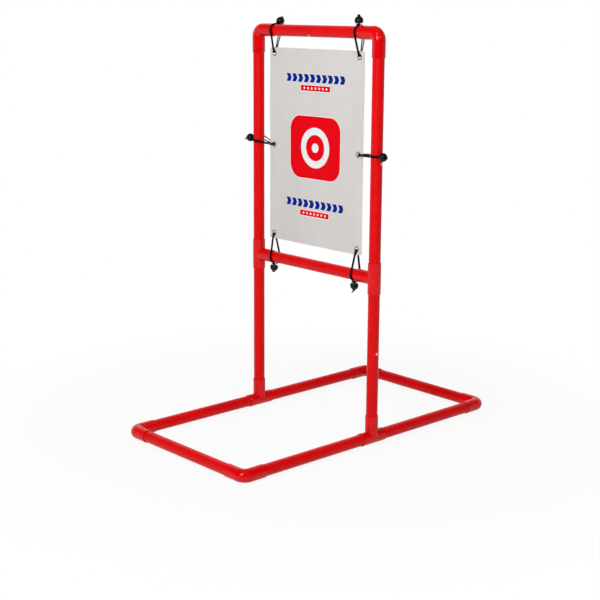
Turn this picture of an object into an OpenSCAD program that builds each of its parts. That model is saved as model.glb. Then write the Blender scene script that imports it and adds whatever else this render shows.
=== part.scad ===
// Pitching target: a tubular frame on a flat H base, with a target sheet hung in it on ball bungees.
// Origin on the floor midway between the uprights, +Z up, the pitcher's side at -Y.

/* [Frame] */
// Distance between the centre lines of the two uprights
frame_w = 475; // [420:5:600]
// Distance from the uprights forward to the front rail's centre line
base_front = 460; // [360:5:600]
// Distance from the uprights back to the rear rail's centre line
base_rear = 460; // [360:5:600]
// Height of the crossbar's centre line
crossbar_h = 466; // [300:2:560]
// Height of the top rail's centre line
top_h = 1113; // [960:2:1400]

/* [Tubes] */
// Outer diameter of the steel tubes
tube_d = 32; // [28:1:36]
// Wall of the steel tubes
tube_wall = 1; // [0.8:0.1:2]
// Hole in each tube that it hung by while it was coated
hang_hole_d = 8; // [4:0.5:10]

/* [Fittings] */
// Wall of a fitting round its socket
fitting_wall = 1.9; // [1.5:0.1:4]
// Gap all round a tube in its socket
socket_fit = 0.1; // [0.05:0.01:0.1]
// How far a socket's stop reaches in past the tube's wall
stop_lip = 0.5; // [0.2:0.1:1.5]
// Chamfer on the rims of the fittings
rim_chamfer = 0.6; // [0.2:0.1:1]
// Radius of an elbow's inside corner
elbow_inner_r = 1; // [0.5:0.5:4]
// Elbow: from the corner of the centre lines to the tube's stop
elbow_stop = 26; // [24:1:36]
// Elbow: depth of the sockets
elbow_socket = 38; // [24:1:50]
// Tee: from the centre to the stops of the run
run_stop = 18; // [17:0.5:24]
// Tee: depth of the sockets of the run
run_socket = 25; // [20:1:40]
// Tee: from the centre to the stop of the branch
branch_stop = 23; // [20:1:30]
// Tee: depth of the socket of the branch
branch_socket = 40; // [26:1:50]

/* [Target sheet] */
// Thickness of the sheet
sheet_t = 1.2; // [0.8:0.1:2]
// Radius of the sheet's corners
sheet_corner_r = 3.5; // [1:0.5:10]
// From the eyelets' centres to the sheet's side edge
eyelet_side_margin = 18; // [12:0.5:24]
// From the eyelets' centres to the sheet's top and bottom edges
eyelet_end_margin = 15.5; // [12:0.5:20]

/* [Eyelets] */
// Diameter of an eyelet's flange and washer
eyelet_d = 16; // [15:0.5:20]
// Clear hole of an eyelet
eyelet_hole_d = 8; // [7.8:0.1:8.6]
// Thickness of an eyelet's flange and curl
eyelet_metal = 0.6; // [0.4:0.1:0.8]
// Thickness of the washer behind the sheet
washer_t = 0.5; // [0.4:0.1:0.8]
// Gap round an eyelet's barrel in the sheet
barrel_fit = 0.05; // [0.05:0.01:0.15]
// Gap round the barrel in the washer
washer_fit = 0.35; // [0.1:0.05:0.4]

/* [Bungees] */
// Thickness of the elastic cord
cord_d = 3.2; // [2.6:0.1:3.4]
// Gap between a cord and the tube that it goes round
cord_lift = 0.4; // [0.35:0.05:0.6]
// Gap between the two strands of a cord
strand_gap = 0.3; // [0.3:0.05:0.4]
// Gap between a cord and the hole of its eyelet or ball
cord_gap = 0.25; // [0.2:0.05:0.3]
// Gap between the cords' loops and the rims of the fittings beside them
rim_gap = 0.5; // [0.5:0.1:5]
// From the top rail's centre line down to the top eyelets
top_span = 63; // [45:1:90]
// From the uprights' centre lines in to the middle eyelets
side_span = 68.5; // [45:0.5:90]
// From the crossbar's centre line up to the low eyelets
low_span = 71; // [45:1:90]
// How far the left middle ball sits above its eyelet
left_ball_lift = 12; // [-15:1:15]
// How far the right middle ball sits above its eyelet
right_ball_lift = 2; // [-15:1:15]
// Diameter of the balls
ball_d = 23.5; // [22:0.5:28]
// From a ball's centre to its flat face
ball_flat = 7; // [6:0.5:9]
// Depth of the seat for the knot, from the ball's crown
knot_seat = 2.75; // [1.5:0.25:4]
// Diameter of the knots
knot_d = 8.8; // [8.4:0.1:9.4]

/* [Hidden] */
$fn = 64;
eps = 1;

tube_r = tube_d / 2;
socket_r = tube_r + socket_fit;
fitting_r = socket_r + fitting_wall;
passage_r = tube_r - tube_wall - stop_lip;
bend_r = fitting_r + elbow_inner_r;
elbow_leg = elbow_stop + elbow_socket;
run_leg = run_stop + run_socket;
branch_leg = branch_stop + branch_socket;

half_w = frame_w / 2;
base_h = fitting_r;

// Where each tube hung from: the turn of its hole about the tube, and the hole's shift along it
FRONT_RAIL_HOLE = [60, 0];
REAR_RAIL_HOLE = [60, 0];
FRONT_SIDE_HOLE = [130, 0];
REAR_LEFT_HOLE = [130, 0];
REAR_RIGHT_HOLE = [50, 0];
LEFT_LOWER_HOLE = [-169, -4];
RIGHT_LOWER_HOLE = [-2, 14];
LEFT_UPPER_HOLE = [140, 0];
RIGHT_UPPER_HOLE = [12, -10];
CROSSBAR_HOLE = [70, 0];
TOP_RAIL_HOLE = [-36, -18];

eyelet_x = half_w - side_span;
eyelet_low_z = crossbar_h + low_span;
eyelet_top_z = top_h - top_span;
eyelet_mid_z = (eyelet_low_z + eyelet_top_z) / 2;
eyelet_heights = [eyelet_low_z, eyelet_mid_z, eyelet_top_z];
sheet_w = 2 * (eyelet_x + eyelet_side_margin);
sheet_low_z = eyelet_low_z - eyelet_end_margin;
sheet_h = eyelet_top_z + eyelet_end_margin - sheet_low_z;

// The eyelet's inner edge is rolled to this radius about a ring of radius roll_at
roll_r = sheet_t / 2 + eyelet_metal;
roll_at = eyelet_hole_d / 2 + roll_r;
barrel_wall = 0.25;
barrel_r = roll_at + barrel_wall;
curl_reach = 0.8;
curl_r = barrel_r + washer_fit + curl_reach;
edge_step = 0.2;

// A cord's path: round the tube at wrap_r and through its eyelet on a turn of radius turn_r
cord_r = cord_d / 2;
strand_x = (cord_d + strand_gap) / 2;
wrap_r = tube_r + cord_lift + cord_r;
hole_room = eyelet_hole_d / 2 - cord_r - cord_gap;
turn_r = roll_at - sqrt(max(0, hole_room * hole_room - strand_x * strand_x));

// The loop at a cord's end lies round the neck between the tube and the ball's flat face
neck_room = 2.2;
ball_near = wrap_r + cord_d + neck_room;
neck_fillet_r = (ball_near * ball_near - wrap_r * wrap_r) / (2 * wrap_r);
neck_turn = asin(neck_fillet_r / (wrap_r + neck_fillet_r));
loop_gap = 1.25;
loop_x = strand_x + cord_d + loop_gap;
loop_over = 0.6;
loop_rise = cord_d + loop_over;
loop_back = -8;
loop_front = 22;
lift_angle = 25;
lift_rise = 1.1;

ball_r = ball_d / 2;
ball_at = ball_near + ball_flat;
ball_bore_r = strand_x + cord_r + cord_gap;
ball_mouth = 0.9;
knot_r = knot_d / 2;
knot_sink = 1.6;
knot_face = ball_at + ball_r - knot_seat;
knot_fit = 0.3;
knot_seat_r = knot_r + knot_fit;
tail_splay = 8;
tail_chamfer = 0.5;

// Rings along a cord, and corners round it
cord_sides = 8;
wrap_step = 15;
fillet_steps = 3;
strand_steps = 4;
turn_steps = 5;
loop_steps = 5;

// The corner bungees hang beside the rims of the fittings
rail_ball_x = half_w - max(elbow_leg, branch_leg) - rim_gap - loop_x - cord_r;
corner_drift = eyelet_x - rail_ball_x;

// Turns that bring a bungee's own frame, x along the tube, y to the front and z away from the sheet,
// to each side of the sheet
TO_TOP = [0, 0, 180];
TO_BOTTOM = [180, 0, 0];
TO_LEFT = [180, 90, 0];
TO_RIGHT = [180, -90, 0];

// One row for each bungee: its turn, its place on the tube's centre line, the span to the eyelet, the
// eyelet's drift along the tube, the ball's lean to the rear, how far the strands wander along the
// tube's front, half their spread on its rear, and the turn, tilt and length of the cord's tails
LEFT_SPOT = [-half_w, 0, eyelet_mid_z + left_ball_lift];
RIGHT_SPOT = [half_w, 0, eyelet_mid_z + right_ball_lift];
TOP_LEFT = [TO_TOP, [-rail_ball_x, 0, top_h], top_span, corner_drift, 36, 0, 4.5, -47, 58, 4.8];
TOP_RIGHT = [TO_TOP, [rail_ball_x, 0, top_h], top_span, -corner_drift, -3, 0, 4.3, 0, 0, 6];
MID_LEFT = [TO_LEFT, LEFT_SPOT, side_span, left_ball_lift, -13, 6, 5.4, 0, 48, 9.8];
MID_RIGHT = [TO_RIGHT, RIGHT_SPOT, side_span, -right_ball_lift, -13, 0, 2, 180, 15, 7.3];
LOW_LEFT = [TO_BOTTOM, [-rail_ball_x, 0, crossbar_h], low_span, -corner_drift, -8, 0, 2, -133, 55, 4.6];
LOW_RIGHT = [TO_BOTTOM, [rail_ball_x, 0, crossbar_h], low_span, corner_drift, -6, 0, 2, 137, 10, 11];

// ---- Tubes ----

// A tube along +Z from z0 to z1, with its hanging hole turned hole[0] from +X and hole[1] above its
// middle
module tube(z0, z1, hole) {
    color([0.84, 0.07, 0.09]) difference() {
        translate([0, 0, z0]) cylinder(h = z1 - z0, r = tube_r);
        translate([0, 0, z0 - eps]) cylinder(h = z1 - z0 + 2 * eps, r = tube_r - tube_wall);
        translate([0, 0, (z0 + z1) / 2 + hole[1]]) rotate([0, 90, hole[0]])
            cylinder(h = tube_r + eps, d = hang_hole_d);
    }
}

// The same tube along +X: a hole turn of 0 looks down and 90 looks to the rear
module tube_across(half_length, hole) {
    rotate([0, 90, 0]) tube(-half_length, half_length, hole);
}

// The same tube along +Y: a hole turn of 0 looks to +X and 90 looks down
module tube_deep(y0, y1, hole) {
    rotate([-90, 0, 0]) tube(y0, y1, hole);
}

module front_rail_tube() {
    translate([0, -base_front, base_h]) tube_across(half_w - elbow_stop, FRONT_RAIL_HOLE);
}

module rear_rail_tube() {
    translate([0, base_rear, base_h]) tube_across(half_w - elbow_stop, REAR_RAIL_HOLE);
}

module front_side_tube(x) {
    translate([x, 0, base_h]) tube_deep(elbow_stop - base_front, -run_stop, FRONT_SIDE_HOLE);
}

module rear_side_tube(x, hole) {
    translate([x, 0, base_h]) tube_deep(run_stop, base_rear - elbow_stop, hole);
}

module lower_upright(x, hole) {
    translate([x, 0, 0]) tube(base_h + branch_stop, crossbar_h - run_stop, hole);
}

module upper_upright(x, hole) {
    translate([x, 0, 0]) tube(crossbar_h + run_stop, top_h - elbow_stop, hole);
}

module crossbar_tube() {
    translate([0, 0, crossbar_h]) tube_across(half_w - branch_stop, CROSSBAR_HOLE);
}

module top_rail_tube() {
    translate([0, 0, top_h]) tube_across(half_w - elbow_stop, TOP_RAIL_HOLE);
}

// ---- Fittings ----

// The outside of one leg along +Z, from the plane z = start to its chamfered rim
module leg(start, rim) {
    translate([0, 0, start]) cylinder(h = rim - rim_chamfer - start, r = fitting_r);
    translate([0, 0, rim - rim_chamfer])
        cylinder(h = rim_chamfer, r1 = fitting_r, r2 = fitting_r - rim_chamfer);
}

// The hollow of one leg along +Z: passage, socket above the stop, and a lead-in at the rim
module leg_bore(start, stop, rim) {
    lead_in = rim_chamfer;
    translate([0, 0, start]) cylinder(h = stop - start, r = passage_r);
    translate([0, 0, stop]) cylinder(h = rim - stop + eps, r = socket_r);
    translate([0, 0, rim - lead_in]) cylinder(h = 2 * lead_in, r1 = socket_r, r2 = socket_r + 2 * lead_in);
}

// A quarter bend of the given pipe radius, from the +X leg to the +Y leg
module bend(r) {
    translate([bend_r, bend_r, 0]) rotate([0, 0, 180])
        rotate_extrude(angle = 90) translate([bend_r, 0]) circle(r = r);
}

// An elbow with its centre lines' corner at the origin and its legs along +X and +Y
module elbow() {
    color([0.86, 0.05, 0.07]) difference() {
        union() {
            bend(fitting_r);
            rotate([0, 90, 0]) leg(bend_r, elbow_leg);
            rotate([-90, 0, 0]) leg(bend_r, elbow_leg);
        }
        bend(passage_r);
        rotate([0, 90, 0]) leg_bore(bend_r, elbow_stop, elbow_leg);
        rotate([-90, 0, 0]) leg_bore(bend_r, elbow_stop, elbow_leg);
    }
}

// A tee with its run along Z and its branch along +X
module tee() {
    color([0.86, 0.05, 0.07]) difference() {
        union() {
            leg(0, run_leg);
            mirror([0, 0, 1]) leg(0, run_leg);
            rotate([0, 90, 0]) leg(0, branch_leg);
        }
        leg_bore(-eps, run_stop, run_leg);
        mirror([0, 0, 1]) leg_bore(-eps, run_stop, run_leg);
        rotate([0, 90, 0]) leg_bore(0, branch_stop, branch_leg);
    }
}

module base_elbow(x, y, turn) {
    translate([x, y, base_h]) rotate([0, 0, turn]) elbow();
}

module base_tee(x) {
    translate([x, 0, base_h]) rotate([0, -90, 90]) tee();
}

module crossbar_tee(x, turn) {
    translate([x, 0, crossbar_h]) rotate([0, 0, turn]) tee();
}

module top_elbow(x, turn) {
    translate([x, 0, top_h]) rotate([-90, 0, turn]) elbow();
}

// ---- Target sheet ----

// Puts its children at each eyelet, with their +Z to the front
module at_eyelets() {
    for (x = [-eyelet_x, eyelet_x], z = eyelet_heights) translate([x, 0, z]) rotate([90, 0, 0]) children();
}

module sheet_outline() {
    translate([sheet_corner_r, 0]) square([sheet_w - 2 * sheet_corner_r, sheet_h]);
    translate([0, sheet_corner_r]) square([sheet_w, sheet_h - 2 * sheet_corner_r]);
    for (x = [sheet_corner_r, sheet_w - sheet_corner_r], z = [sheet_corner_r, sheet_h - sheet_corner_r])
        translate([x, z]) circle(r = sheet_corner_r);
}

module target_sheet() {
    color([0.83, 0.82, 0.81]) difference() {
        translate([-sheet_w / 2, sheet_t / 2, sheet_low_z]) rotate([90, 0, 0])
            linear_extrude(height = sheet_t) sheet_outline();
        at_eyelets() cylinder(h = 2 * sheet_t, r = barrel_r + barrel_fit, center = true);
    }
}

// An eyelet: flange on the sheet's front, barrel through it, and a curl over the washer behind
module eyelet() {
    curl_z = -sheet_t / 2 - washer_t;
    rotate_extrude() {
        translate([roll_at, sheet_t / 2]) square([eyelet_d / 2 - roll_at - edge_step, eyelet_metal]);
        translate([roll_at, sheet_t / 2]) square([eyelet_d / 2 - roll_at, eyelet_metal / 2]);
        translate([roll_at, curl_z - eyelet_metal]) square([curl_r - edge_step - roll_at, eyelet_metal]);
        translate([roll_at, curl_z - eyelet_metal / 2]) square([curl_r - roll_at, eyelet_metal / 2]);
        translate([roll_at, curl_z - eyelet_metal]) square([barrel_r - roll_at, roll_r - curl_z]);
        intersection() {
            translate([roll_at, 0]) circle(r = roll_r);
            square([roll_at, roll_r]);
        }
        translate([roll_at - roll_r, -washer_t]) square([roll_r, washer_t]);
        intersection() {
            translate([roll_at, -washer_t]) circle(r = roll_r);
            translate([0, -washer_t - roll_r]) square([roll_at, roll_r]);
        }
    }
}

module sheet_eyelets() {
    color([0.75, 0.76, 0.78]) at_eyelets() eyelet();
}

module eyelet_washers() {
    color([0.7, 0.71, 0.73]) at_eyelets() translate([0, 0, -sheet_t / 2 - washer_t]) difference() {
        cylinder(h = washer_t, d = eyelet_d);
        translate([0, 0, -eps]) cylinder(h = washer_t + 2 * eps, r = barrel_r + washer_fit);
    }
}

// ---- Bungees ----

function unit(v) = v / norm(v);
function mix(a, b, t) = a + (b - a) * t;
function ease(t) = t * t * (3 - 2 * t);
function reversed(list) = [for (i = [len(list) - 1:-1:0]) list[i]];

// A point at x along the tube, r from its axis and a degrees from straight outward toward the front
function around(x, r, a) = [x, r * sin(a), r * cos(a)];

// One strand of a cord on side s (1 or -1) of the ball: from the knot through the ball, down the
// tube's front, through the eyelet, up the tube's rear and round the neck to just short of the tip
function strand(s, span, drift, lean, wander, spread) =
    let (ball_a = -lean, depth = span - roll_at, slope = asin((wrap_r - turn_r) / depth))
    let (front_a = 90 + slope, rear_a = 270 - slope, turn_at = [s * strand_x + drift, 0, -depth])
    let (fillet_at = around(s * strand_x, wrap_r + neck_fillet_r, ball_a + neck_turn))
    let (wrap_a = ball_a + neck_turn, wrap_steps = ceil((front_a - wrap_a) / wrap_step))
    let (loop_a = 360 + ball_a + loop_back, rear_steps = ceil((loop_a - rear_a) / wrap_step))
    let (wrap_end = around(s * strand_x + wander, wrap_r, front_a))
    let (turn_start = turn_at + around(0, turn_r, front_a))
    let (turn_end = turn_at + around(0, turn_r, rear_a), rear_start = around(s * spread, wrap_r, rear_a))
    concat(
        [for (i = [0:1]) around(s * strand_x, mix(knot_face, ball_near, i / 2), ball_a)],
        [for (i = [0:fillet_steps]) fillet_at
            + around(0, neck_fillet_r, mix(ball_a + 270, wrap_a + 180, i / fillet_steps))],
        [for (i = [1:wrap_steps]) let (t = i / wrap_steps)
            around(s * strand_x + wander * ease(t), wrap_r, mix(wrap_a, front_a, t))],
        [for (i = [1:strand_steps - 1]) mix(wrap_end, turn_start, i / strand_steps)],
        [for (i = [0:turn_steps]) turn_at + around(0, turn_r, mix(front_a, rear_a, i / turn_steps))],
        [for (i = [1:strand_steps - 1]) mix(turn_end, rear_start, i / strand_steps)],
        [for (i = [0:rear_steps]) let (a = mix(rear_a, loop_a, i / rear_steps))
            let (lift = max(0, 1 - (loop_a - a) / lift_angle))
            around(s * mix(spread, loop_x, ease(i / rear_steps)), wrap_r + lift_rise * lift * lift, a)],
        [for (i = [1:loop_steps - 1]) let (t = 90 * i / loop_steps)
            around(s * loop_x * cos(t), mix(wrap_r + lift_rise, wrap_r + loop_rise, sin(t)),
                ball_a + mix(loop_back, loop_front, sin(t)))]
    );

// The whole centre line of a cord, from one side of the knot round to the other
function cord_route(span, drift, lean, wander, spread) = concat(
    strand(1, span, drift, lean, wander, spread),
    [around(0, wrap_r + loop_rise, loop_front - lean)],
    reversed(strand(-1, span, drift, lean, wander, spread))
);

function directions(p) = [for (i = [0:len(p) - 1]) unit(p[min(i + 1, len(p) - 1)] - p[max(i - 1, 0)])];

// Normals carried along the cord without twist, from the tube's direction at the knot
function carried_normals(d) = [
    for (i = 0, n = [1, 0, 0]; i < len(d); n = square_to(n, d[min(i + 1, len(d) - 1)]), i = i + 1) n
];
function square_to(n, d) = unit(n - (n * d) * d);

// A tube of flat facets along a route, closed at both ends
module swept_cord(route) {
    along = directions(route);
    side = carried_normals(along);
    last = len(route) - 1;
    corners = [
        for (i = [0:last], k = [0:cord_sides - 1]) let (a = 360 * (k + 0.5) / cord_sides)
            route[i] + cord_r * (cos(a) * side[i] + sin(a) * cross(along[i], side[i]))
    ];
    walls = [
        for (i = [0:last - 1], k = [0:cord_sides - 1])
            let (a = i * cord_sides + k, b = i * cord_sides + (k + 1) % cord_sides)
            each [[a, a + cord_sides, b], [b, a + cord_sides, b + cord_sides]]
    ];
    first_cap = [for (k = [0:cord_sides - 1]) k];
    last_cap = [for (k = [cord_sides - 1:-1:0]) last * cord_sides + k];
    polyhedron(points = corners, faces = concat(walls, [first_cap, last_cap]));
}

// Puts its children in a bungee's own frame
module at_bungee(b) {
    translate(b[1]) rotate(b[0]) children();
}

module bungee_cord(b) {
    color([0.08, 0.08, 0.09]) at_bungee(b) swept_cord(cord_route(b[2], b[3], b[4], b[5], b[6]));
}

// A ball: domed away from the tube, flat toward it, bored for both strands and seated for the knot
module bungee_ball(b) {
    color([0.1, 0.1, 0.11]) at_bungee(b) rotate([b[4], 0, 0]) translate([0, 0, ball_at]) difference() {
        intersection() {
            sphere(r = ball_r);
            translate([0, 0, ball_r - ball_flat]) cube(2 * ball_r, center = true);
        }
        cylinder(h = 4 * ball_r, r = ball_bore_r, center = true);
        translate([0, 0, ball_r - knot_seat]) cylinder(h = knot_seat + eps, r = knot_seat_r);
        translate([0, 0, -ball_flat - eps])
            cylinder(h = ball_mouth + eps, r1 = ball_bore_r + ball_mouth + eps, r2 = ball_bore_r);
    }
}

// One cut end of a cord, standing up from a knot's middle
module tail(length) {
    cylinder(h = length - tail_chamfer, r = cord_r);
    translate([0, 0, length - tail_chamfer])
        cylinder(h = tail_chamfer, r1 = cord_r, r2 = cord_r - tail_chamfer);
}

// The knot on a ball's seat, with the two cut ends of the cord
module bungee_knot(b) {
    color([0.07, 0.07, 0.08]) at_bungee(b) rotate([b[4], 0, 0]) translate([0, 0, knot_face + knot_sink]) {
        intersection() {
            sphere(r = knot_r);
            translate([0, 0, knot_r - knot_sink]) cube(2 * knot_r, center = true);
        }
        rotate([0, b[8], b[7]]) for (s = [-1, 1])
            translate([0, s * strand_x, 0]) rotate([-s * tail_splay, 0, 0]) tail(b[9]);
    }
}

front_rail_tube();
rear_rail_tube();
front_side_tube(-half_w);  // front_left_side_tube
front_side_tube(half_w);  // front_right_side_tube
rear_side_tube(-half_w, REAR_LEFT_HOLE);  // rear_left_side_tube
rear_side_tube(half_w, REAR_RIGHT_HOLE);  // rear_right_side_tube
lower_upright(-half_w, LEFT_LOWER_HOLE);  // left_lower_upright
lower_upright(half_w, RIGHT_LOWER_HOLE);  // right_lower_upright
upper_upright(-half_w, LEFT_UPPER_HOLE);  // left_upper_upright
upper_upright(half_w, RIGHT_UPPER_HOLE);  // right_upper_upright
crossbar_tube();
top_rail_tube();
base_elbow(-half_w, -base_front, 0);  // front_left_elbow
base_elbow(half_w, -base_front, 90);  // front_right_elbow
base_elbow(-half_w, base_rear, -90);  // rear_left_elbow
base_elbow(half_w, base_rear, 180);  // rear_right_elbow
base_tee(-half_w);  // left_base_tee
base_tee(half_w);  // right_base_tee
crossbar_tee(-half_w, 0);  // left_crossbar_tee
crossbar_tee(half_w, 180);  // right_crossbar_tee
top_elbow(-half_w, 0);  // top_left_elbow
top_elbow(half_w, 180);  // top_right_elbow
target_sheet();
sheet_eyelets();
eyelet_washers();
bungee_cord(TOP_LEFT);  // bungee_cord_top_left
bungee_cord(TOP_RIGHT);  // bungee_cord_top_right
bungee_cord(MID_LEFT);  // bungee_cord_mid_left
bungee_cord(MID_RIGHT);  // bungee_cord_mid_right
bungee_cord(LOW_LEFT);  // bungee_cord_low_left
bungee_cord(LOW_RIGHT);  // bungee_cord_low_right
bungee_ball(TOP_LEFT);  // bungee_ball_top_left
bungee_ball(TOP_RIGHT);  // bungee_ball_top_right
bungee_ball(MID_LEFT);  // bungee_ball_mid_left
bungee_ball(MID_RIGHT);  // bungee_ball_mid_right
bungee_ball(LOW_LEFT);  // bungee_ball_low_left
bungee_ball(LOW_RIGHT);  // bungee_ball_low_right
bungee_knot(TOP_LEFT);  // bungee_knot_top_left
bungee_knot(TOP_RIGHT);  // bungee_knot_top_right
bungee_knot(MID_LEFT);  // bungee_knot_mid_left
bungee_knot(MID_RIGHT);  // bungee_knot_mid_right
bungee_knot(LOW_LEFT);  // bungee_knot_low_left
bungee_knot(LOW_RIGHT);  // bungee_knot_low_right
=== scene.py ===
from math import asin, atan2, ceil, cos, degrees, exp, hypot, pi, radians, sin, sqrt

import bmesh
import bpy
from mathutils import Euler, Matrix, Vector


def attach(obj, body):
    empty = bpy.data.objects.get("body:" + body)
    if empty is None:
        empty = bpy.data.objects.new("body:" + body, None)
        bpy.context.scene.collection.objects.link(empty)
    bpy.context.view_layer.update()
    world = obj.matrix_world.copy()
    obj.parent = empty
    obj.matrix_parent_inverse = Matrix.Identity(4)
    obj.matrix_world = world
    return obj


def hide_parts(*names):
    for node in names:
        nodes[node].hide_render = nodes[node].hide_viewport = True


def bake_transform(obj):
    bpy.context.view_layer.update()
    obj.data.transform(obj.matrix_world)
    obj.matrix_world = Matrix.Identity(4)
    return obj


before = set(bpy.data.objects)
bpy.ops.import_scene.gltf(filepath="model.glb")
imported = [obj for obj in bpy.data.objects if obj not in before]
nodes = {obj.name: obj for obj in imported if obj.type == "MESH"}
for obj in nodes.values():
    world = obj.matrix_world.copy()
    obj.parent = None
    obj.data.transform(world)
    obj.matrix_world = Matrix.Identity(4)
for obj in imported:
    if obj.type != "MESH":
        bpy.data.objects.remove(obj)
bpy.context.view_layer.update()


# ---- Camera ----
# A player stands in front and to the right of the target, eyes a little above its middle, and sees
# the sheet, both uprights and the whole base. The camera stands still on level ground.

PLAYER_EYE = Vector((2.565, -2.409, 1.186))
TURN_LEFT = 47.43
TIP_DOWN = 13.13
HEAD_TILT = 0.34

camera = bpy.data.objects.new("player_camera", bpy.data.cameras.new("player_camera"))
bpy.context.scene.collection.objects.link(camera)
camera.data.sensor_width = 36
camera.data.lens = 76.29
camera.data.clip_start = 0.05
camera.data.clip_end = 60
camera.matrix_world = (
    Matrix.Translation(PLAYER_EYE)
    @ Matrix.Rotation(radians(TURN_LEFT), 4, "Z")
    @ Matrix.Rotation(radians(90 - TIP_DOWN), 4, "X")
    @ Matrix.Rotation(radians(HEAD_TILT), 4, "Z")
)
bpy.context.scene.camera = camera
bpy.context.scene.view_settings.view_transform = "Standard"


# ---- Steel tubes ----
# Twelve thin-walled steel tubes, 32 mm across, in a satin red powder coat with a bare zinc bore. Each
# was hung by a small hole to be coated, and is pushed into the sockets of its two fittings.


class Wire:
    """A socket of a node tree. Sums with wires add Math nodes, and node adds any other node."""

    def __init__(self, tree, socket=None):
        self.tree = tree
        self.socket = socket

    def node(self, kind, settings=(), inputs=(), output=0):
        made = self.tree.nodes.new(kind)
        for name, value in dict(settings).items():
            setattr(made, name, value)
        for name, value in dict(inputs).items():
            if isinstance(value, Wire):
                self.tree.links.new(value.socket, made.inputs[name])
            else:
                made.inputs[name].default_value = value
        return Wire(self.tree, None if output is None else made.outputs[output])

    def math(self, operation, *others):
        return self.node("ShaderNodeMath", {"operation": operation}, enumerate((self, *others)))

    def reflected(self, operation, first):
        return self.node("ShaderNodeMath", {"operation": operation}, enumerate((first, self)))

    def __add__(self, other):
        return self.math("ADD", other)

    def __radd__(self, other):
        return self.reflected("ADD", other)

    def __sub__(self, other):
        return self.math("SUBTRACT", other)

    def __rsub__(self, other):
        return self.reflected("SUBTRACT", other)

    def __mul__(self, other):
        return self.math("MULTIPLY", other)

    def __rmul__(self, other):
        return self.reflected("MULTIPLY", other)

    def __truediv__(self, other):
        return self.math("DIVIDE", other)

    def __rtruediv__(self, other):
        return self.reflected("DIVIDE", other)

    def __lt__(self, other):
        return self.math("LESS_THAN", other)

    def __gt__(self, other):
        return self.math("GREATER_THAN", other)

    def __abs__(self):
        return self.math("ABSOLUTE")


def shade(red, green, blue):
    """A colour from its 0 to 255 screen values."""
    def linear(value):
        value /= 255
        return value / 12.92 if value <= 0.04045 else ((value + 0.055) / 1.055) ** 2.4
    return linear(red), linear(green), linear(blue), 1.0


def new_finish(name, **constants):
    """A material, its shader and a wire to begin its nodes from. Constants go on the shader itself."""
    finish = bpy.data.materials.new(name)
    finish.use_nodes = True
    shader = finish.node_tree.nodes["Principled BSDF"]
    for socket, value in constants.items():
        shader.inputs[socket.replace("_", " ")].default_value = value
    return finish, shader, Wire(finish.node_tree)


def feed(shader, socket, wire):
    wire.tree.links.new(wire.socket, shader.inputs[socket])


def relief(shader, height, depth):
    """Raises the surface by height times depth."""
    settings = {"Strength": 1.0, "Distance": depth, "Height": height}
    feed(shader, "Normal", height.node("ShaderNodeBump", inputs=settings))


def place_on(start, kind="Object"):
    return start.node("ShaderNodeTexCoord", output=kind)


def split(place):
    """The three values of a vector."""
    first = place.node("ShaderNodeSeparateXYZ", inputs={0: place})
    return [Wire(place.tree, socket) for socket in first.socket.node.outputs]


def reach(x, z):
    """The length of a line that goes x across and z up."""
    return (x * x + z * z).math("SQRT")


def stretched(place, x, y, z):
    return place.node("ShaderNodeVectorMath", {"operation": "MULTIPLY"}, {0: place, 1: (x, y, z)})


def mottle(place, scale, detail=2.0):
    """Soft random spots, 0 to 1, scale of them to the metre."""
    return place.node("ShaderNodeTexNoise", inputs={"Vector": place, "Scale": scale, "Detail": detail})


def eased(value, low, high):
    """0 below low, 1 above high, and smooth between."""
    limits = {"Value": value, "From Min": low, "From Max": high}
    return value.node("ShaderNodeMapRange", {"interpolation_type": "SMOOTHSTEP"}, limits)


# A Mix node has sockets for numbers, vectors and colours, and these are the colours' own
MIX_SHARE, MIX_FIRST, MIX_SECOND, MIX_RESULT = 0, 6, 7, 2


def mixed(first, second, share):
    """The first colour where share is 0 and the second where it is 1."""
    inputs = {MIX_SHARE: share, MIX_FIRST: first, MIX_SECOND: second}
    return share.node("ShaderNodeMix", {"data_type": "RGBA"}, inputs, MIX_RESULT)


def dress(part, *finishes):
    part.data.materials.clear()
    for finish in finishes:
        part.data.materials.append(finish)


TUBE_R = 0.016
TUBE_WALL = 0.001
COAT_DEEP, COAT_LIGHT, COAT_RUBBED = shade(219, 3, 8), shade(226, 7, 11), shade(204, 6, 10)
ZINC_DULL, ZINC_BRIGHT = shade(196, 200, 204), shade(222, 225, 228)
NO_GLOW, ZINC_GLOW = shade(0, 0, 0), shade(112, 114, 116)
RUBS_ACROSS, RUBS_ALONG = 160.0, 5.0


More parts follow.
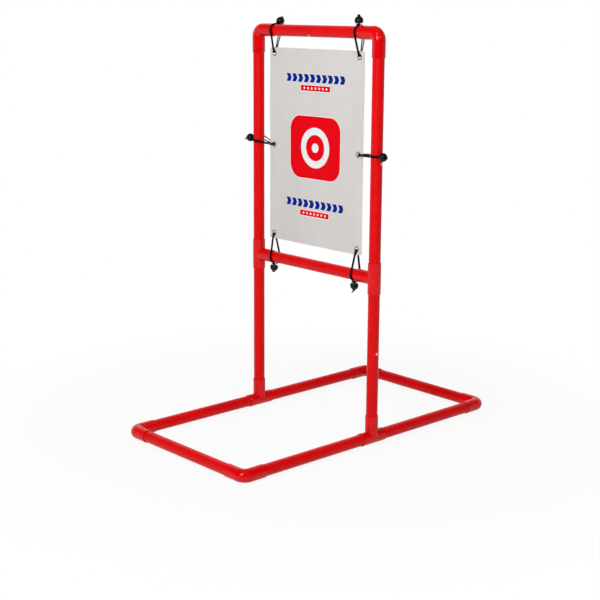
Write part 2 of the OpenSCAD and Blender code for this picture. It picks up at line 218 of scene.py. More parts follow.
def powder_coat(axis):
    """Satin red coat on a tube along axis 0, 1 or 2, and bare zinc in its bore, with a weak glow that
    stands for the light which bright zinc passes down a tube."""
    name = "powder_coat_" + "xyz"[axis]
    finish, shader, start = new_finish(name, Specular_IOR_Level=0.13, Emission_Strength=1.0)
    place = place_on(start)
    across = split(place_on(start, "Generated"))
    del across[axis]
    off_axis = reach(across[0] - 0.5, across[1] - 0.5)
    bore = off_axis < 0.5 * (1 - 0.5 * TUBE_WALL / TUBE_R)
    film = eased(mottle(place, 11, 3.0), 0.3, 0.7)
    rub_scale = [RUBS_ACROSS] * 3
    rub_scale[axis] = RUBS_ALONG
    rubs = eased(mottle(stretched(place, *rub_scale), 1.0, 4.0), 0.66, 0.78)
    coat = mixed(mixed(COAT_DEEP, COAT_LIGHT, film), COAT_RUBBED, rubs * 0.3)
    zinc = mixed(ZINC_DULL, ZINC_BRIGHT, eased(mottle(place, 260, 3.0), 0.35, 0.65))
    feed(shader, "Base Color", mixed(coat, zinc, bore))
    feed(shader, "Emission Color", mixed(NO_GLOW, ZINC_GLOW, bore))
    feed(shader, "Metallic", bore * 0.25)
    feed(shader, "Roughness", 0.29 + 0.05 * film + 0.12 * rubs + 0.15 * bore)
    relief(shader, mottle(place, 700, 2.0) + 0.5 * mottle(place, 190, 1.0), 0.00006)
    return finish


TUBES_ALONG = {
    0: ["front_rail_tube", "rear_rail_tube", "crossbar_tube", "top_rail_tube"],
    1: ["front_left_side_tube", "front_right_side_tube", "rear_left_side_tube", "rear_right_side_tube"],
    2: ["left_lower_upright", "right_lower_upright", "left_upper_upright", "right_upper_upright"],
}
for axis, names in TUBES_ALONG.items():
    coat = powder_coat(axis)
    for name in names:
        dress(nodes[name], coat)


# ---- Moulded fittings ----
# Six elbows and four tees of glossy red plastic, moulded in two-part tools that leave a fine parting
# line round their middle. The tubes push into their sockets and are held by friction.

HALF_W = 0.2375
BASE_Z = 0.018
LINE_HALF, LINE_FADE = 0.00008, 0.0004
PLASTIC_DEEP, PLASTIC_LIGHT, LINE_RED = shade(219, 1, 8), shade(226, 4, 11), shade(200, 2, 8)


def moulded_red(name, axis, parting, both_sides=False):
    """Glossy plastic with its parting line in the plane where axis reads parting."""
    finish, shader, start = new_finish(name, Specular_IOR_Level=0.21)
    place = place_on(start)
    reading = split(place)[axis]
    off_line = abs((abs(reading) if both_sides else reading) - parting)
    line = 1 - eased(off_line, LINE_HALF, LINE_FADE)
    flow = eased(mottle(stretched(place, 1.0, 1.0, 1.6), 26, 3.0), 0.3, 0.7)
    red = mixed(PLASTIC_DEEP, PLASTIC_LIGHT, flow)
    feed(shader, "Base Color", mixed(red, LINE_RED, line * 0.5))
    feed(shader, "Roughness", 0.08 + 0.03 * flow + 0.1 * line)
    relief(shader, line + 0.12 * mottle(place, 30, 1.0) + 0.02 * mottle(place, 1200, 1.0), 0.00012)
    return finish


base_elbow_red = moulded_red("base_elbow_red", 2, BASE_Z)
base_tee_red = moulded_red("base_tee_red", 0, HALF_W, both_sides=True)
frame_fitting_red = moulded_red("frame_fitting_red", 1, 0.0)
for end in ("front", "rear"):
    for side in ("left", "right"):
        dress(nodes[end + "_" + side + "_elbow"], base_elbow_red)
for side in ("left", "right"):
    dress(nodes[side + "_base_tee"], base_tee_red)
    dress(nodes[side + "_crossbar_tee"], frame_fitting_red)
    dress(nodes["top_" + side + "_elbow"], frame_fitting_red)


# ---- Target sheet ----
# A pale grey coated fabric, 374 by 544 mm and 1.2 mm thick, cut square with small round corners. It
# is screen printed on its front and pulled nearly flat by the cords at its six eyelets.

SHEET_W = 0.374
SHEET_H = 0.544
SHEET_T = 0.0012
SHEET_MID_Z = 0.7935
SHEET_CORNER = 0.0035
SHEET_STEP = 0.004
EYELET_X = 0.169
EYELET_RISE = 0.2565
EYELET_ROWS = (-EYELET_RISE, 0, EYELET_RISE)
EYELETS = [(x, SHEET_MID_Z + dz) for x in (-EYELET_X, EYELET_X) for dz in EYELET_ROWS]
EYELET_CUT_R = 0.0062
PUNCH_DEPTH = 0.02
CLAMPED_R, SWELL_REACH = 0.009, 0.1
BROAD_SWELL, SLANT_SWELL, FINE_SWELL = 0.0009, 0.0005, 0.0004
PUCKER_H, PUCKER_REACH, PUCKER_EDGE, PUCKERS_ROUND = 0.0009, 0.03, 0.016, 7


def smooth(t):
    t = min(1.0, max(0.0, t))
    return t * t * (3 - 2 * t)


def grid_lines(half):
    """Places across the sheet: three fine steps at each corner and even steps between."""
    fine = [SHEET_CORNER * i / 3 for i in range(3)]
    span = 2 * (half - SHEET_CORNER)
    count = round(span / SHEET_STEP)
    middle = [-half + SHEET_CORNER + span * i / count for i in range(count + 1)]
    return [-half + f for f in fine] + middle + [half - f for f in reversed(fine)]


def round_corner(x, z):
    """Moves the square corner's points onto a quarter disc."""
    in_x, in_z = SHEET_W / 2 - SHEET_CORNER, SHEET_H / 2 - SHEET_CORNER
    u, v = (abs(x) - in_x) / SHEET_CORNER, (abs(z) - in_z) / SHEET_CORNER
    if u <= 0 or v <= 0:
        return x, z
    new_u, new_v = u * sqrt(1 - v * v / 2), v * sqrt(1 - u * u / 2)
    return (
        (1 if x > 0 else -1) * (in_x + SHEET_CORNER * new_u),
        (1 if z > 0 else -1) * (in_z + SHEET_CORNER * new_v),
    )


def sheet_ripple(x, z):
    """How far the stretched sheet stands out of its plane: slack swells and puckers at the eyelets."""
    nearest = min(hypot(x - ex, z + SHEET_MID_Z - ez) for ex, ez in EYELETS)
    swell = BROAD_SWELL * sin(x * 17 + 0.7) * cos(z * 7.5 - 0.4)
    swell += SLANT_SWELL * sin(x * 9 - z * 13 + 1.9)
    swell += FINE_SWELL * sin(x * 41 + z * 3 + 0.5)
    out = swell * smooth((nearest - CLAMPED_R) / SWELL_REACH)
    for ex, ez in EYELETS:
        dx, dz = x - ex, z + SHEET_MID_Z - ez
        off = hypot(dx, dz)
        fade = smooth((off - CLAMPED_R) / PUCKER_EDGE) * exp(-off / PUCKER_REACH)
        out += PUCKER_H * fade * sin(PUCKERS_ROUND * atan2(dz, dx) + 21 * ex + ez)
    return out


def make_piece(name, corners, faces, smooth_below=40):
    """A mesh object in the row frame, smooth but for edges sharper than the given angle."""
    mesh = bpy.data.meshes.new(name)
    mesh.from_pydata(corners, [], faces)
    mesh.update()
    mesh.shade_smooth()
    mesh.set_sharp_from_angle(angle=radians(smooth_below))
    piece = bpy.data.objects.new(name, mesh)
    bpy.context.scene.collection.objects.link(piece)
    return piece


def sheet_mesh():
    across, up = grid_lines(SHEET_W / 2), grid_lines(SHEET_H / 2)
    corners, faces = [], []
    for y in (-SHEET_T / 2, SHEET_T / 2):
        for z in up:
            for x in across:
                px, pz = round_corner(x, z)
                corners.append((px, y + sheet_ripple(px, pz), pz + SHEET_MID_Z))
    wide, high = len(across), len(up)
    back = wide * high
    for j in range(high - 1):
        for i in range(wide - 1):
            a = j * wide + i
            faces.append((a, a + 1, a + wide + 1, a + wide))
            faces.append((back + a, back + a + wide, back + a + wide + 1, back + a + 1))
    ring = list(range(wide)) + [j * wide + wide - 1 for j in range(1, high)]
    ring += [(high - 1) * wide + i for i in range(wide - 2, -1, -1)]
    ring += [j * wide for j in range(high - 2, 0, -1)]
    for a, b in zip(ring, ring[1:] + ring[:1]):
        faces.append((b, a, back + a, back + b))
    return corners, faces


sheet = make_piece("target_sheet_fabric", *sheet_mesh())

punch_mesh = bmesh.new()
for x, z in EYELETS:
    bmesh.ops.create_cone(
        punch_mesh,
        cap_ends=True,
        segments=32,
        radius1=EYELET_CUT_R,
        radius2=EYELET_CUT_R,
        depth=PUNCH_DEPTH,
        matrix=Matrix.Translation((x, 0, z)) @ Matrix.Rotation(radians(90), 4, "X"),
    )
punch_data = bpy.data.meshes.new("eyelet_punch")
punch_mesh.to_mesh(punch_data)
punch_mesh.free()
punch = bpy.data.objects.new("eyelet_punch", punch_data)
bpy.context.scene.collection.objects.link(punch)
cut = sheet.modifiers.new("eyelet_holes", "BOOLEAN")
cut.operation = "DIFFERENCE"
cut.solver = "EXACT"
cut.object = punch
graph = bpy.context.evaluated_depsgraph_get()
punched = bpy.data.meshes.new_from_object(sheet.evaluated_get(graph))
sheet.modifiers.clear()
sheet.data = punched
bpy.data.objects.remove(punch)

SHEET_DARK, SHEET_LIGHT = shade(210, 207, 204), shade(217, 214, 211)
WEAVE_PITCH = 0.0011
PRINT_BLUE = shade(0, 34, 138)
PRINT_RED = shade(232, 0, 18)
PRINT_WHITE = shade(236, 238, 240)
KEYLINE = 0.002
PRINT_EDGE = 0.0001
ROWS_Z, BARS_Z = (0.986, 0.6385), (0.9593, 0.6116)
ARROW_PITCH, ARROW_COUNT, ARROW_HALF_H = 0.0236, 10, 0.0112
ARROW_LEAN, ARROW_THICK = 0.55, 0.34
BAR_HALF_W, BAR_HALF_H, BAR_CORNER = 0.058, 0.0076, 0.003
DOT_PITCH, DOT_COUNT, DOT_R = 0.0145, 7, 0.0031
EMBLEM_Z, EMBLEM_HALF_W, EMBLEM_HALF_H, EMBLEM_CORNER = 0.7965, 0.1, 0.0865, 0.04
RINGS = ((0.056, PRINT_WHITE), (0.036, PRINT_RED), (0.013, PRINT_WHITE))


def inside(distance):
    """1 within an outline and 0 beyond it, with a slightly soft edge."""
    return 1 - eased(distance, -PRINT_EDGE, PRINT_EDGE)


def rounded_box(x, z, mid_z, half_w, half_h, corner):
    """Distance outside a box with round corners, centred on the sheet's width."""
    over_x = (abs(x) - (half_w - corner)).math("MAXIMUM", 0.0)
    over_z = (abs(z - mid_z) - (half_h - corner)).math("MAXIMUM", 0.0)
    return reach(over_x, over_z) - corner


def repeated(x, pitch, count):
    """How far x lies from the middle of the nearest of count like shapes, pitch apart."""
    return (((x + pitch * count / 2) / pitch).math("FRACT") - 0.5) * pitch


def arrowheads(x, z, mid_z):
    """Distance outside a row of arrowheads."""
    off = abs(z - mid_z)
    tip = repeated(x, ARROW_PITCH, ARROW_COUNT) - (ARROW_HALF_H * ARROW_LEAN / 2 - ARROW_LEAN * off)
    arm = (abs(tip) - ARROW_PITCH * ARROW_THICK) / hypot(1, ARROW_LEAN)
    row_end = abs(x) - (ARROW_PITCH * ARROW_COUNT / 2 - KEYLINE)
    return arm.math("MAXIMUM", off - ARROW_HALF_H).math("MAXIMUM", row_end)


def dots(x, z, mid_z):
    """Distance outside a row of dots."""
    dot = reach(repeated(x, DOT_PITCH, DOT_COUNT), z - mid_z) - DOT_R
    return dot.math("MAXIMUM", abs(x) - DOT_PITCH * DOT_COUNT / 2)


def prints(ink, x, z):
    """The sheet's own colour and what is printed on it: arrowheads, dotted bars and the emblem."""
    for row_z in ROWS_Z:
        row = arrowheads(x, z, row_z)
        ink = mixed(ink, PRINT_WHITE, inside(row - 0.5 * KEYLINE))
        ink = mixed(ink, PRINT_BLUE, inside(row))
    for bar_z in BARS_Z:
        bar = rounded_box(x, z, bar_z, BAR_HALF_W, BAR_HALF_H, BAR_CORNER)
        ink = mixed(ink, PRINT_WHITE, inside(bar - KEYLINE))
        ink = mixed(ink, PRINT_RED, inside(bar))
        ink = mixed(ink, PRINT_WHITE, inside(dots(x, z, bar_z)))
    emblem = rounded_box(x, z, EMBLEM_Z, EMBLEM_HALF_W, EMBLEM_HALF_H, EMBLEM_CORNER)
    ink = mixed(ink, PRINT_WHITE, inside(emblem - KEYLINE))
    ink = mixed(ink, PRINT_RED, inside(emblem))
    from_middle = reach(x, z - EMBLEM_Z)
    for radius, colour in RINGS:
        ink = mixed(ink, colour, inside(from_middle - radius))
    return ink


def coated_fabric(name, printing=None):
    """Pale grey coating over a woven scrim, bare or with a printing."""
    finish, shader, start = new_finish(name, Specular_IOR_Level=0.06)
    place = place_on(start)
    x, _, z = split(place)
    bands = eased(mottle(stretched(place, 9.0, 1.0, 1.2), 1.0, 3.0), 0.25, 0.75)
    cloud = eased(mottle(place, 16, 4.0), 0.3, 0.7)
    base = mixed(SHEET_DARK, SHEET_LIGHT, bands * 0.7 + cloud * 0.3)
    feed(shader, "Base Color", printing(base, x, z) if printing else base)
    feed(shader, "Roughness", 0.55 + 0.1 * cloud)
    weave = (x * (2 * pi / WEAVE_PITCH)).math("SINE") * (z * (2 * pi / WEAVE_PITCH)).math("SINE")
    relief(shader, 0.5 * weave + 0.8 * mottle(place, 420, 2.0), 0.00004)
    return finish


dress(sheet, coated_fabric("printed_sheet", prints), coated_fabric("plain_sheet"))
for face in sheet.data.polygons:
    face.material_index = 0 if face.normal.y < -0.5 else 1
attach(sheet, "target")
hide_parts("target_sheet")


# ---- Eyelets and washers ----
# Six two-part eyelets of dark nickel-plated brass: the flange and barrel go in from the front and are
# rolled over a washer behind, so that the cords don't tear the sheet.

EYELET_ROLL_AT = 0.0052
ROLL_IN, ROLL_OUT = EYELET_ROLL_AT - 0.0004, EYELET_ROLL_AT + 0.0006
NICKEL_LIGHT, NICKEL_DARK, NICKEL_ROLL_HIGHLIGHT = shade(132, 127, 122), shade(92, 87, 84), shade(226, 226, 224)

nickel, shader, start = new_finish("dark_nickel", Metallic=1.0)
place = place_on(start)
tarnish = eased(mottle(place, 300, 3.0), 0.4, 0.7)
x, _, z = split(place)
off_x, off_z = abs(x) - EYELET_X, abs(z - SHEET_MID_Z)
off_z = off_z.math("MINIMUM", abs(off_z - EYELET_RISE))
# Each eyelet's rolled inner edge is painted near white, a painted highlight along the roll
roll_highlight = 1 - eased(reach(off_x, off_z), ROLL_IN, ROLL_OUT)
flange = mixed(NICKEL_LIGHT, NICKEL_DARK, tarnish)
feed(shader, "Base Color", mixed(flange, NICKEL_ROLL_HIGHLIGHT, roll_highlight))
feed(shader, "Roughness", 0.22 + 0.16 * tarnish)
relief(shader, mottle(place, 900, 2.0), 0.00003)
dress(nodes["sheet_eyelets"], nickel)
dress(nodes["eyelet_washers"], nickel)


# ---- Bungee cords ----
# One elastic cord to each eyelet, 3.2 mm thick with a braided black jacket. Both strands run from the
# knot through the ball, over the tube's front, through the eyelet and up behind, and the loop that
# they make is slipped over the ball to lie round its neck.

CORD_R = 0.0016
CORD_LIFT = 0.0004
CORD_GAP = 0.00025
STRAND_X = 0.00175
EYELET_HOLE_R = 0.004
WRAP_R = TUBE_R + CORD_LIFT + CORD_R
HOLE_ROOM = EYELET_HOLE_R - CORD_R - CORD_GAP
TURN_R = EYELET_ROLL_AT - sqrt(HOLE_ROOM**2 - STRAND_X**2)
NECK_ROOM = 0.0022
BALL_NEAR = WRAP_R + 2 * CORD_R + NECK_ROOM
NECK_FILLET_R = (BALL_NEAR**2 - WRAP_R**2) / (2 * WRAP_R)
NECK_TURN = degrees(asin(NECK_FILLET_R / (WRAP_R + NECK_FILLET_R)))
LOOP_GAP, LOOP_OVER = 0.00125, 0.0006
LOOP_X = STRAND_X + 2 * CORD_R + LOOP_GAP
LOOP_RISE = 2 * CORD_R + LOOP_OVER
LOOP_BACK, LOOP_FRONT = -8, 22
LIFT_ANGLE, LIFT_RISE = 25, 0.0011
BALL_R = 0.01175
BALL_FLAT = 0.007
KNOT_SEAT = 0.00275
BALL_AT = BALL_NEAR + BALL_FLAT
KNOT_FACE = BALL_AT + BALL_R - KNOT_SEAT
BORE_STEPS, NECK_STEPS, LEG_STEPS, TURN_STEPS, TIP_STEPS = 6, 9, 18, 15, 15
CORD_SIDES = 12

TOP_Z, CROSSBAR_Z = 1.113, 0.466
RAIL_BALL_X = 0.1652
DRIFT = EYELET_X - RAIL_BALL_X
LEFT_RISE, RIGHT_RISE = 0.012, 0.002
TOP_LEFT, TOP_RIGHT = (-RAIL_BALL_X, 0, TOP_Z), (RAIL_BALL_X, 0, TOP_Z)
MID_LEFT, MID_RIGHT = (-HALF_W, 0, SHEET_MID_Z + LEFT_RISE), (HALF_W, 0, SHEET_MID_Z + RIGHT_RISE)
LOW_LEFT, LOW_RIGHT = (-RAIL_BALL_X, 0, CROSSBAR_Z), (RAIL_BALL_X, 0, CROSSBAR_Z)
TO_TOP, TO_BOTTOM, TO_LEFT, TO_RIGHT = (0, 0, 180), (180, 0, 0), (180, 90, 0), (180, -90, 0)
TOP_SPAN, SIDE_SPAN, LOW_SPAN = 0.063, 0.0685, 0.071

# For each bungee: its turn, its place on the tube, the span to the eyelet, the eyelet's drift along
# the tube, the ball's lean, how far the strands wander on the tube's front, and half their spread on
# its rear
BUNGEES = {
    "top_left": (TO_TOP, TOP_LEFT, TOP_SPAN, DRIFT, 36, 0, 0.0045),
    "top_right": (TO_TOP, TOP_RIGHT, TOP_SPAN, -DRIFT, -3, 0, 0.0043),
    "mid_left": (TO_LEFT, MID_LEFT, SIDE_SPAN, LEFT_RISE, -13, 0.006, 0.0054),
    "mid_right": (TO_RIGHT, MID_RIGHT, SIDE_SPAN, -RIGHT_RISE, -13, 0, 0.002),
    "low_left": (TO_BOTTOM, LOW_LEFT, LOW_SPAN, -DRIFT, -8, 0, 0.002),
    "low_right": (TO_BOTTOM, LOW_RIGHT, LOW_SPAN, DRIFT, -6, 0, 0.002),
}


def around(x, radius, angle):
    """A point x along the tube, at an angle from straight outward toward the front."""
    return Vector((x, radius * sin(radians(angle)), radius * cos(radians(angle))))


def between(a, b, t):
    return a + (b - a) * t


def shares(count, first=0, last=0):
    """The ends of count even steps from 0 to 1, less the first few and the last few."""
    return [i / count for i in range(first, count + 1 - last)]


def arc_steps(angle):
    """How many steps an arc takes, three to each 15 degrees or part of them."""
    return ceil(angle / 15) * 3


def leg(start, end):
    """A strand's straight run from start to end, less both ends."""
    return [between(start, end, t) for t in shares(LEG_STEPS, 1, 1)]


def strand(side, span, drift, lean, wander, spread):
    """One strand's centre line, from the knot to just short of the loop's tip."""
    ball_a, depth = -lean, span - EYELET_ROLL_AT
    slope = degrees(asin((WRAP_R - TURN_R) / depth))
    front_a, rear_a = 90 + slope, 270 - slope
    neck_a, loop_a = ball_a + NECK_TURN, 360 + ball_a + LOOP_BACK
    beside = side * STRAND_X
    neck_at = around(beside, WRAP_R + NECK_FILLET_R, neck_a)
    turn_at = Vector((beside + drift, 0, -depth))
    line = [around(beside, between(KNOT_FACE, BALL_NEAR, t), ball_a) for t in shares(BORE_STEPS, last=1)]
    for t in shares(NECK_STEPS):
        line.append(neck_at + around(0, NECK_FILLET_R, between(ball_a + 270, neck_a + 180, t)))
    for t in shares(arc_steps(front_a - neck_a), first=1):
        line.append(around(beside + wander * smooth(t), WRAP_R, between(neck_a, front_a, t)))
    turn = [turn_at + around(0, TURN_R, between(front_a, rear_a, t)) for t in shares(TURN_STEPS)]
    line += leg(line[-1], turn[0]) + turn + leg(turn[-1], around(side * spread, WRAP_R, rear_a))
    for t in shares(arc_steps(loop_a - rear_a)):
        angle = between(rear_a, loop_a, t)
        lift = max(0.0, 1 - (loop_a - angle) / LIFT_ANGLE)
        across = side * between(spread, LOOP_X, smooth(t))
        line.append(around(across, WRAP_R + LIFT_RISE * lift * lift, angle))
    for t in shares(TIP_STEPS, 1, 1):
        way = sin(radians(90 * t))
        across, angle = side * LOOP_X * sqrt(1 - way * way), between(LOOP_BACK, LOOP_FRONT, way)
        line.append(around(across, WRAP_R + between(LIFT_RISE, LOOP_RISE, way), ball_a + angle))
    return line


def cord_line(span, drift, lean, wander, spread):
    """The whole cord's centre line, from the knot round its loop and back."""
    tip = around(0, WRAP_R + LOOP_RISE, LOOP_FRONT - lean)
    there, back = (strand(side, span, drift, lean, wander, spread) for side in (1, -1))
    return there + [tip] + back[::-1]


def swept(line, radii):
    """A round cord along a line: its corners, its faces, and each ring's distance along it."""
    last = len(line) - 1
    ways = [(line[min(i + 1, last)] - line[max(i - 1, 0)]).normalized() for i in range(last + 1)]
    normal = ways[0].orthogonal().normalized()
    corners, faces, run = [], [], [0.0]
    for i, (point, way) in enumerate(zip(line, ways)):
        normal = (normal - normal.dot(way) * way).normalized()
        other = way.cross(normal)
        for k in range(CORD_SIDES):
            a = 2 * pi * k / CORD_SIDES
            corners.append(point + radii[i] * (cos(a) * normal + sin(a) * other))
        if i:
            run.append(run[-1] + (point - line[i - 1]).length)
            low, high = (i - 1) * CORD_SIDES, i * CORD_SIDES
            for k in range(CORD_SIDES):
                beside = (k + 1) % CORD_SIDES
                faces.append((low + k, high + k, high + beside, low + beside))
    faces.append(tuple(range(CORD_SIDES)))
    faces.append(tuple(range(len(corners) - 1, len(corners) - CORD_SIDES - 1, -1)))
    return corners, faces, run


def map_braid(piece, runs):
    """Lays a map over a swept piece: once round it across, and metres along it up."""
    layer = piece.data.uv_layers.new(name="braid")
    for face in piece.data.polygons:
        picks = [piece.data.loops[i].vertex_index for i in face.loop_indices]
        rounds = [v % CORD_SIDES / CORD_SIDES for v in picks]
        wraps = max(rounds) - min(rounds) > 0.5
        for loop, v, u in zip(face.loop_indices, picks, rounds):
            layer.data[loop].uv = (u + 1 if wraps and u < 0.5 else u, runs[v // CORD_SIDES])


def hung_at(turn, place):
    """A bungee's own frame: x along its tube, y to the front and z straight out from the sheet."""
    return Matrix.Translation(place) @ Euler([radians(a) for a in turn], "XYZ").to_matrix().to_4x4()


YARNS_ROUND, BRAID_PITCH = 8, 0.0042
JACKET_DARK, JACKET_LIGHT = shade(4, 4, 5), shade(20, 20, 22)

braid, shader, start = new_finish("braided_cord", Specular_IOR_Level=0.04)
around_u, along_v, _ = split(start.node("ShaderNodeUVMap", {"uv_map": "braid"}, output="UV"))
right_hand = around_u * YARNS_ROUND + along_v / BRAID_PITCH
left_hand = around_u * YARNS_ROUND - along_v / BRAID_PITCH
right_yarn, left_yarn = (abs((hand * pi).math("SINE")) for hand in (right_hand, left_hand))
turns = right_hand.math("FLOOR") + left_hand.math("FLOOR")
over = (turns * 0.5).math("FRACT") > 0.25
yarns = right_yarn * over + left_yarn * (1 - over)
fuzz = mottle(place_on(start), 1500, 2.0)
# The yarns are painted lighter along their crowns and darker in the grooves between them, a painted
# sheen and painted shade, with a random fuzz mixed in
feed(shader, "Base Color", mixed(JACKET_DARK, JACKET_LIGHT, yarns * 0.55 + fuzz * 0.45))
feed(shader, "Roughness", 0.78 - 0.22 * yarns)
relief(shader, yarns + 0.25 * fuzz, 0.00012)

for name, (turn, place, *route) in BUNGEES.items():
    hung = hung_at(turn, place)
    line = [hung @ p for p in cord_line(*route)]
    corners, faces, run = swept(line, [CORD_R] * len(line))
    cord = make_piece("elastic_cord_" + name, corners, faces, smooth_below=60)
    map_braid(cord, run)
    dress(cord, braid)
    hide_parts("bungee_cord_" + name)
    eyelet_turn = hung @ Vector((0, 0, -(route[0] - EYELET_ROLL_AT - TURN_R - CORD_R)))
    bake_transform(cord)


# ---- Bungee balls ----
# Six 23.5 mm balls of black polypropylene, moulded in two halves, with one flat face toward the tube,
# a hole for both strands and a seat for the knot. Each leans the way its cord happens to pull it.

BORE_R = STRAND_X + CORD_R + CORD_GAP
MOUTH = ((0.0009, 0.0), (0.0003, 0.0005), (0.0, 0.0013))
KNOT_R = 0.0044
SEAT_R = KNOT_R + 0.0003
SEAT_LIP_R, SEAT_LIP_DROP = SEAT_R + 0.0003, 0.00015
FACE_EDGE_R = 0.0008
CROWN_STEPS, EDGE_STEPS = 28, 5
BALL_SIDES = 48
BALL_DARK, BALL_LIGHT = shade(3, 3, 4), shade(9, 9, 10)


def arc(mid_r, mid_z, radius, start_a, end_a, steps):
    """Points (r, z) of an arc, its angles in degrees from +r toward +z."""
    turns = [radians(between(start_a, end_a, t)) for t in shares(steps)]
    return [(mid_r + radius * cos(a), mid_z + radius * sin(a)) for a in turns]


def ball_outline():
    """The ball's section, from the seat's floor over the crown and the flat face back up the bore."""
    floor_z, lip_z = BALL_R - KNOT_SEAT, sqrt(BALL_R**2 - SEAT_LIP_R**2)
    edge_z = -BALL_FLAT + FACE_EDGE_R
    edge_r = sqrt((BALL_R - FACE_EDGE_R) ** 2 - edge_z**2)
    meet = degrees(atan2(edge_z, edge_r))
    outline = [(BORE_R, floor_z), (SEAT_R, floor_z), (SEAT_R, lip_z - SEAT_LIP_DROP)]
    outline += arc(0, 0, BALL_R, degrees(atan2(lip_z, SEAT_LIP_R)), meet, CROWN_STEPS)
    outline += arc(edge_r, edge_z, FACE_EDGE_R, meet, -90, EDGE_STEPS)
    outline += [(BORE_R + wider, -BALL_FLAT + deep) for wider, deep in MOUTH]
    return outline


def turned(outline):
    """A closed ring of a section turned about z."""
    corners, faces, count = [], [], len(outline)
    for k in range(BALL_SIDES):
        a = 2 * pi * k / BALL_SIDES
        corners += [Vector((r * cos(a), r * sin(a), z)) for r, z in outline]
        here, beside = k * count, (k + 1) % BALL_SIDES * count
        for i in range(count):
            j = (i + 1) % count
            faces.append((here + i, here + j, beside + j, beside + i))
    return corners, faces


def out_along(name, distance):
    """A bungee's frame leaned as its ball leans, and moved out along the ball's bore."""
    turn, place, _, _, lean, *_ = BUNGEES[name]
    moved = Matrix.Translation((0, 0, distance))
    return hung_at(turn, place) @ Matrix.Rotation(radians(lean), 4, "X") @ moved


black, shader, start = new_finish("black_polypropylene", Specular_IOR_Level=0.25)
place = place_on(start)
swirl = eased(mottle(place, 90, 3.0), 0.3, 0.7)
feed(shader, "Base Color", mixed(BALL_DARK, BALL_LIGHT, swirl))
feed(shader, "Roughness", 0.09 + 0.04 * swirl)
relief(shader, 0.4 * mottle(place, 160, 2.0) + 0.1 * mottle(place, 1600, 1.0), 0.00004)

for name in BUNGEES:
    seat = out_along(name, BALL_AT)
    corners, faces = turned(ball_outline())
    ball = make_piece("black_ball_" + name, [seat @ p for p in corners], faces, smooth_below=35)
    dress(ball, black)
    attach(ball, "upright_frame")
    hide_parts("bungee_ball_" + name)


# ---- Knots ----
# Both ends of each cord are tied in one overhand knot that is pulled down into the ball's seat. The
# two tails are cut short and their ends are melted round so that the jacket doesn't fray.

KNOT_SINK = 0.0016
KNOT_MID_R, KNOT_SWING = 0.00195, 0.00105
KNOT_MID_Z, KNOT_RISE = 0.00125, 0.00135
TAIL_ROOT, TAIL_SPLAY = 0.55, 8
SHORTER_TAIL = 0.9
MELTED_END = (1.04, 0.86, 0.4)
KNOT_STEPS, TAIL_STEPS = 72, 14

# For each knot: its tails' turn and tilt, their length and their curl
TAILS = {
    "top_left": (-47, 58, 0.0048, 0.0002),
    "top_right": (0, 0, 0.006, 0.0004),
    "mid_left": (0, 48, 0.0098, -0.0012),
    "mid_right": (180, 15, 0.0073, 0.0004),
    "low_left": (-133, 55, 0.0046, 0.0002),
    "low_right": (137, 10, 0.011, 0.0035),
}


def knot_line():
    """A trefoil that fills the knot's ball, tall enough to stand out of the seat."""
    line = []
    for t in shares(KNOT_STEPS):
        a = 2 * pi * t
        wide, tall = KNOT_MID_R + KNOT_SWING * cos(3 * a), KNOT_MID_Z + KNOT_RISE * sin(3 * a)
        line.append(Vector((wide * cos(2 * a), wide * sin(2 * a), tall)))
    return line


def tail_line(length, curl, side):
    """A tail from beside the knot's middle, leaning a little to its side and curling toward its end."""
    line, tall = [], length if side > 0 else length * SHORTER_TAIL
    for t in shares(TAIL_STEPS):
        beside = STRAND_X * between(TAIL_ROOT, 1, smooth(2 * t)) + length * t * sin(radians(TAIL_SPLAY))
        line.append(Vector((curl * t * t, side * beside, tall * t)))
    return line


def knot_mesh(turn, tilt, length, curl):
    corners, faces, runs = [], [], []
    spin = Matrix.Rotation(radians(turn), 4, "Z") @ Matrix.Rotation(radians(tilt), 4, "Y")
    tails = [[spin @ p for p in tail_line(length, curl, side)] for side in (-1, 1)]
    for line, melted in [(knot_line(), ())] + [(tail, MELTED_END) for tail in tails]:
        radii = [CORD_R] * (len(line) - len(melted)) + [CORD_R * share for share in melted]
        part_corners, part_faces, run = swept(line, radii)
        base = len(corners)
        corners += part_corners
        faces += [tuple(base + i for i in face) for face in part_faces]
        runs += run
    return corners, faces, runs


for name, tails in TAILS.items():
    seat = out_along(name, KNOT_FACE + KNOT_SINK)
    corners, faces, runs = knot_mesh(*tails)
    knot = make_piece("tied_knot_" + name, [seat @ p for p in corners], faces, smooth_below=60)
    map_braid(knot, runs)
    dress(knot, braid)
    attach(knot, "upright_frame")
    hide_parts("bungee_knot_" + name)


# ---- Studio ----
# A pale floor under a white sky, with five square lamps: the main one in front, one above it, one to
# the right, a weak one overhead, and one behind that lights the sheet's back.

SEEN_RAYS = ("Is Camera Ray", "Is Glossy Ray", "Is Transmission Ray")
SKY_WHITE = (1, 1, 1, 1)
SKY_LIGHT = 0.25
ROOM_X, ROOM_Y, ROOM_Z = 0.68, -0.73, 1.2
ROOM_FROM, ROOM_FULL, ROOM_DARK = -0.1, 0.5, 0.9


def seen(start):
    """1 for rays from the eye and for those that gloss or glass passes on, and 0 for light."""
    eye, gloss, glass = (start.node("ShaderNodeLightPath", output=name) for name in SEEN_RAYS)
    return eye.math("MAXIMUM", gloss).math("MAXIMUM", glass)


studio = bpy.data.worlds.new("studio")
bpy.context.scene.world = studio
studio.use_nodes = True
studio.node_tree.nodes.clear()
start = Wire(studio.node_tree)
x, y, z = split(place_on(start, "Generated"))
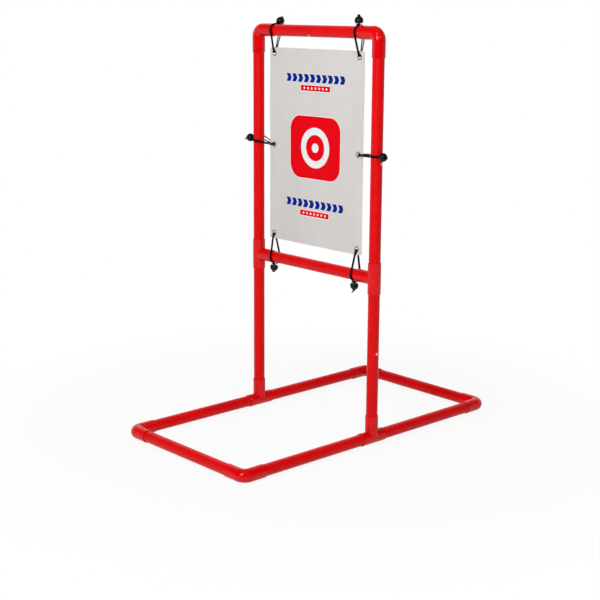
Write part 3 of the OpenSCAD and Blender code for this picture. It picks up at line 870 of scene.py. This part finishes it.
# Glossy pieces mirror a dark room above and behind the player, and white elsewhere
toward_room = eased(ROOM_X * x + ROOM_Y * y + ROOM_Z * z, ROOM_FROM, ROOM_FULL)
mirrored_room = toward_room * start.node("ShaderNodeLightPath", output="Is Glossy Ray")
sky = {"Color": SKY_WHITE, "Strength": 1.0 - ROOM_DARK * mirrored_room}
white_sky = start.node("ShaderNodeBackground", inputs=sky)
soft_sky = start.node("ShaderNodeBackground", inputs={"Color": SKY_WHITE, "Strength": SKY_LIGHT})
whole_sky = start.node("ShaderNodeMixShader", inputs={0: seen(start), 1: soft_sky, 2: white_sky})
start.node("ShaderNodeOutputWorld", inputs={"Surface": whole_sky}, output=None)

FLOOR_R, FLOOR_DROP = 5.0, 0.0002
FLOOR_PAINT, FLOOR_GLOW = (0.86, 0.86, 0.86, 1), (1, 1, 1, 1)
GLOW_NEAR, FADE_FROM, FADE_TO = 0.89, 0.6, 1.2

floor_mesh = bpy.data.meshes.new("studio_floor")
floor_maker = bmesh.new()
bmesh.ops.create_circle(floor_maker, cap_ends=True, segments=96, radius=FLOOR_R)
floor_maker.to_mesh(floor_mesh)
floor_maker.free()
floor = bpy.data.objects.new("studio_floor", floor_mesh)
bpy.context.scene.collection.objects.link(floor)
floor.location.z = -FLOOR_DROP
pale, shader, start = new_finish("pale_floor")
pale.node_tree.nodes.clear()
x, y, _ = split(place_on(start))
# Near the object a little of the painted floor shows through the glow, and so its shadows do
veil = seen(start) * (GLOW_NEAR + (1 - GLOW_NEAR) * eased(reach(x, y), FADE_FROM, FADE_TO))
painted = start.node("ShaderNodeBsdfDiffuse", inputs={"Color": FLOOR_PAINT})
glow = start.node("ShaderNodeEmission", inputs={"Color": FLOOR_GLOW, "Strength": 1.0})
whole_floor = start.node("ShaderNodeMixShader", inputs={0: veil, 1: painted, 2: glow})
start.node("ShaderNodeOutputMaterial", inputs={"Surface": whole_floor}, output=None)
dress(floor, pale)

# Each lamp's place, size and power
LAMPS = {
    "front_lamp": ((1.0, -2.55, 1.75), 0.9, 36),
    "high_lamp": ((0.85, -1.9, 2.75), 0.5, 18),
    "side_lamp": ((2.75, -1.05, 2.45), 0.42, 13),
    "overhead_lamp": ((0.2, -0.4, 3.4), 2.6, 3),
    "rear_lamp": ((-2.5, 2.5, 2.0), 4.0, 82),
}
LAMPS_AIM = Vector((0, 0, 0.55))
for name, (place, size, power) in LAMPS.items():
    lamp = bpy.data.objects.new(name, bpy.data.lights.new(name, "AREA"))
    lamp.data.shape = "SQUARE"
    lamp.data.size = size
    lamp.data.energy = power
    lamp.location = place
    lamp.rotation_euler = (LAMPS_AIM - Vector(place)).to_track_quat("-Z", "Y").to_euler()
    lamp.visible_glossy = name != "rear_lamp"
    bpy.context.scene.collection.objects.link(lamp)
